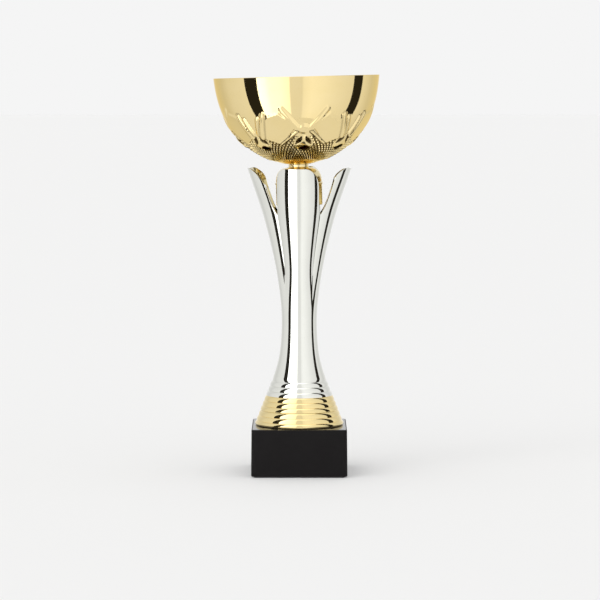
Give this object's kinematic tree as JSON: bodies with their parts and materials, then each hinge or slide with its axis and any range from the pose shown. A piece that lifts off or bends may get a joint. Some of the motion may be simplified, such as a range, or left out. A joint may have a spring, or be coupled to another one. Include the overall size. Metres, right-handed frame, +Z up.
{
  "type": "cup trophy",
  "caption": "Cup trophy: gold bowl on a silver stem that opens into petals, on ribbed gold risers and a square black block.",
  "frame": {"origin": "centre of the base pad's underside, where the trophy stands", "axes": "+Z up, -Y towards the front, +X to the right of the front view"},
  "size_m": [0.1383, 0.1384, 0.333],
  "materials": {
    "felt": "black felt",
    "black_plastic": "black, polished top, satin sides",
    "zinc_steel": "bright zinc plating",
    "gold_plastic": "vacuum-metallised gold mirror on plastic",
    "silver_plastic": "vacuum-metallised silver mirror on plastic",
    "gold_plate": "mirror gold plating on thin pressed steel",
    "fibre": "red vulcanised fibre"
  },
  "bodies": {
    "root": {"base_pad": "felt", "base_block": "black_plastic", "base_washer": "zinc_steel", "base_lock_washer": "zinc_steel", "base_nut": "zinc_steel", "tie_rod": "zinc_steel", "riser_lower": "gold_plastic", "riser_upper": "gold_plastic", "stem": "silver_plastic", "stem_washer": "zinc_steel", "coupling_nut": "zinc_steel", "bowl_holder": "gold_plastic", "bowl": "gold_plate", "bowl_gasket": "fibre", "bowl_washer": "zinc_steel", "bowl_bolt": "zinc_steel"}
  },
  "joints": []
}
